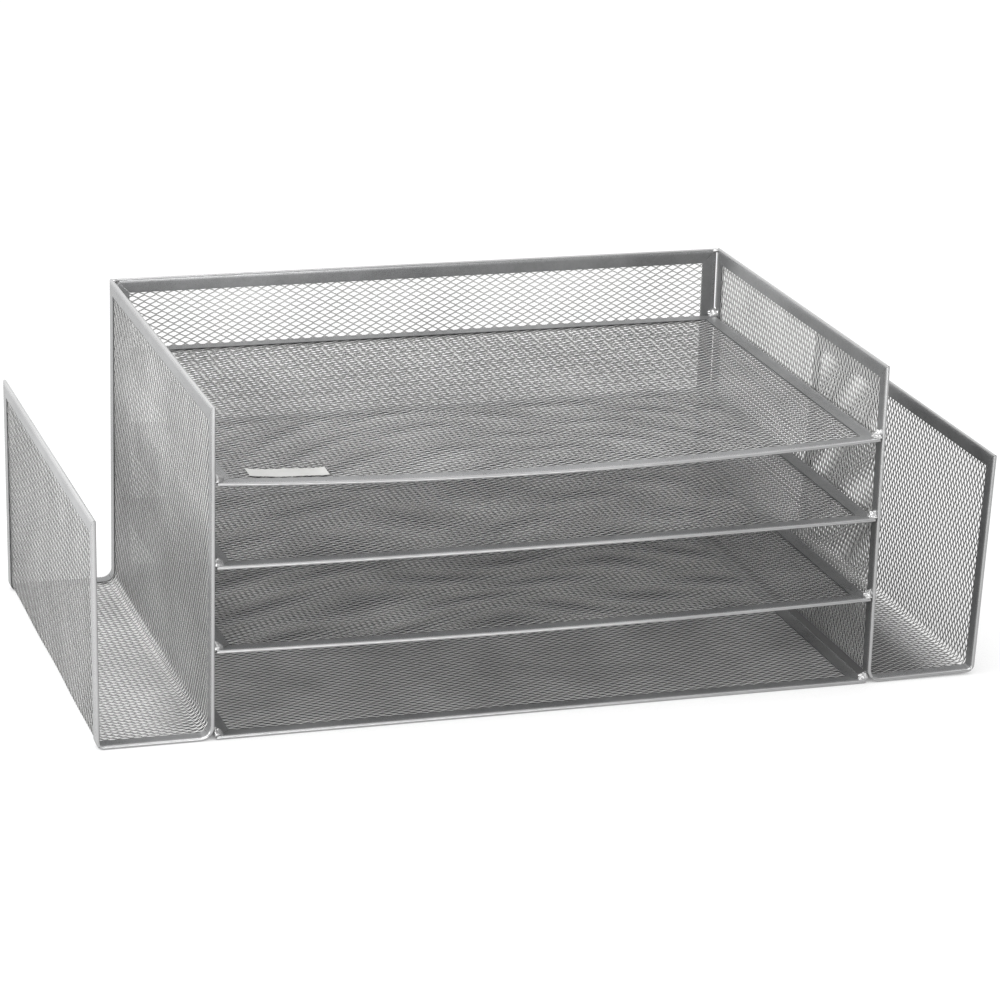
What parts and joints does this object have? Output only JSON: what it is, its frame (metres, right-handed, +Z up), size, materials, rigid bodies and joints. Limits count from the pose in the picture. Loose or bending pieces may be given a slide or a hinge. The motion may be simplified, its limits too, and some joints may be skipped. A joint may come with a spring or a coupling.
{
  "type": "mesh paper tray",
  "caption": "Desk organiser of framed expanded-metal panels: a bay of stacked paper trays open at the front, with a low open pocket folded out on each side.",
  "frame": {"origin": "on the desk, under the centre of the whole tray's outline", "axes": "+X to the right as a person sees the open front, +Y from the open front to the back panel, +Z up"},
  "size_m": [0.4466, 0.2336, 0.1622],
  "materials": {
    "net": "silver-grey paint on expanded steel, satin, slightly rough over the strands",
    "strip": "silver-grey paint on folded sheet steel, satin, with a fine metallic grain",
    "weld": "weld beads under a thin coat of silver paint, shinier than the strips"
  },
  "bodies": {
    "root": {"left_side_mesh": "net", "right_side_mesh": "net", "back_panel_mesh": "net", "floor_mesh": "net", "lower_shelf_mesh": "net", "middle_shelf_mesh": "net", "top_shelf_mesh": "net", "left_side_wall_front_strip": "strip", "left_side_wall_back_strip": "strip", "left_pocket_floor_front_strip": "strip", "left_pocket_floor_back_strip": "strip", "left_pocket_wall_front_strip": "strip", "left_pocket_wall_back_strip": "strip", "left_side_wall_top_strip": "strip", "left_pocket_wall_top_strip": "strip", "right_side_wall_front_strip": "strip", "right_side_wall_back_strip": "strip", "right_pocket_floor_front_strip": "strip", "right_pocket_floor_back_strip": "strip", "right_pocket_wall_front_strip": "strip", "right_pocket_wall_back_strip": "strip", "right_side_wall_top_strip": "strip", "right_pocket_wall_top_strip": "strip", "back_panel_bottom_strip": "strip", "back_panel_right_strip": "strip", "back_panel_top_strip": "strip", "back_panel_left_strip": "strip", "floor_front_strip": "strip", "floor_right_strip": "strip", "floor_back_strip": "strip", "floor_left_strip": "strip", "lower_shelf_front_strip": "strip", "lower_shelf_right_strip": "strip", "lower_shelf_back_strip": "strip", "lower_shelf_left_strip": "strip", "middle_shelf_front_strip": "strip", "middle_shelf_right_strip": "strip", "middle_shelf_back_strip": "strip", "middle_shelf_left_strip": "strip", "top_shelf_front_strip": "strip", "top_shelf_right_strip": "strip", "top_shelf_back_strip": "strip", "top_shelf_left_strip": "strip", "floor_weld_front_left": "weld", "floor_weld_rear_left": "weld", "floor_weld_front_right": "weld", "floor_weld_rear_right": "weld", "lower_shelf_weld_front_left": "weld", "lower_shelf_weld_rear_left": "weld", "lower_shelf_weld_front_right": "weld", "lower_shelf_weld_rear_right": "weld", "middle_shelf_weld_front_left": "weld", "middle_shelf_weld_rear_left": "weld", "middle_shelf_weld_front_right": "weld", "middle_shelf_weld_rear_right": "weld", "top_shelf_weld_front_left": "weld", "top_shelf_weld_rear_left": "weld", "top_shelf_weld_front_right": "weld", "top_shelf_weld_rear_right": "weld"}
  },
  "joints": []
}
